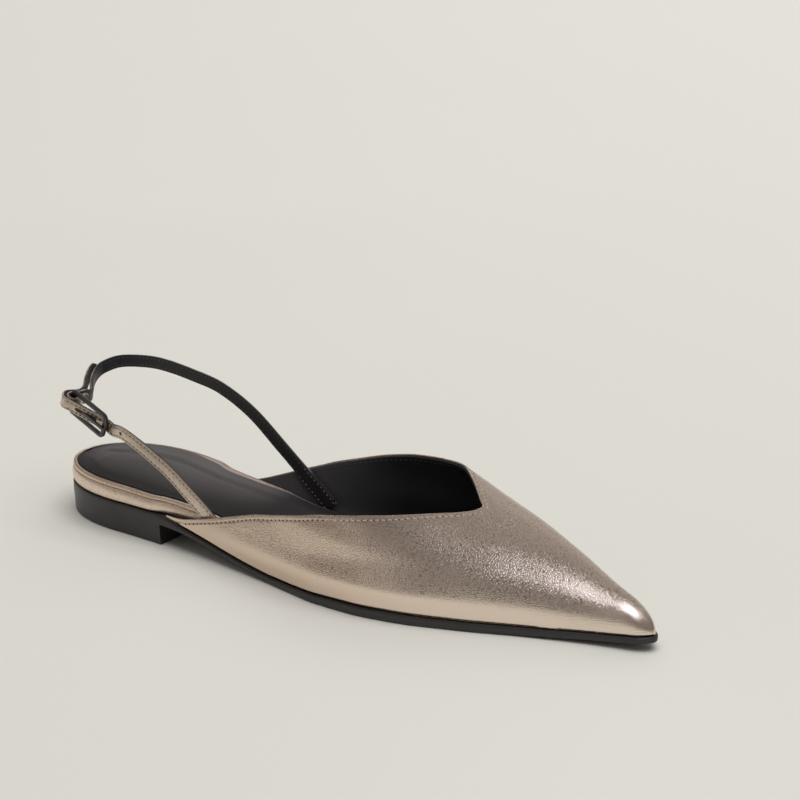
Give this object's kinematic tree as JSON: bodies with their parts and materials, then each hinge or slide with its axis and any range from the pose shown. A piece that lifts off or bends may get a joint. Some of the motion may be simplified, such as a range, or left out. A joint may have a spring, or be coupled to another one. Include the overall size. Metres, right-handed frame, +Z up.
{
  "type": "slingback shoe",
  "caption": "Flat pointed slingback shoe for the right foot: hollow leather upper with a V throat, low heel block, padded insole and a buckled strap round the heel.",
  "frame": {"origin": "on the floor, under the middle of the shoe's box", "axes": "+X from heel to toe, +Y to the inner side of the right foot, +Z up from the floor"},
  "size_m": [0.2742, 0.0738, 0.0574],
  "materials": {
    "black_sole": "black dyed sole leather, satin edge",
    "black_heel": "black dyed stacked heel, satin",
    "bronze_cover": "metallic champagne bronze leather, smooth",
    "black_sock": "black padded lining leather, soft sheen",
    "bronze_leather": "metallic champagne bronze leather, fine grain",
    "strap_leather": "metallic champagne bronze leather, black lining",
    "gunmetal": "dark gunmetal plating, semi-gloss"
  },
  "bodies": {
    "root": {"outsole": "black_sole", "heel": "black_heel", "footbed": "bronze_cover", "insole": "black_sock", "upper": "bronze_leather", "strap_lateral": "strap_leather", "strap_medial": "strap_leather", "buckle_frame": "gunmetal", "buckle_prong": "gunmetal"}
  },
  "joints": []
}
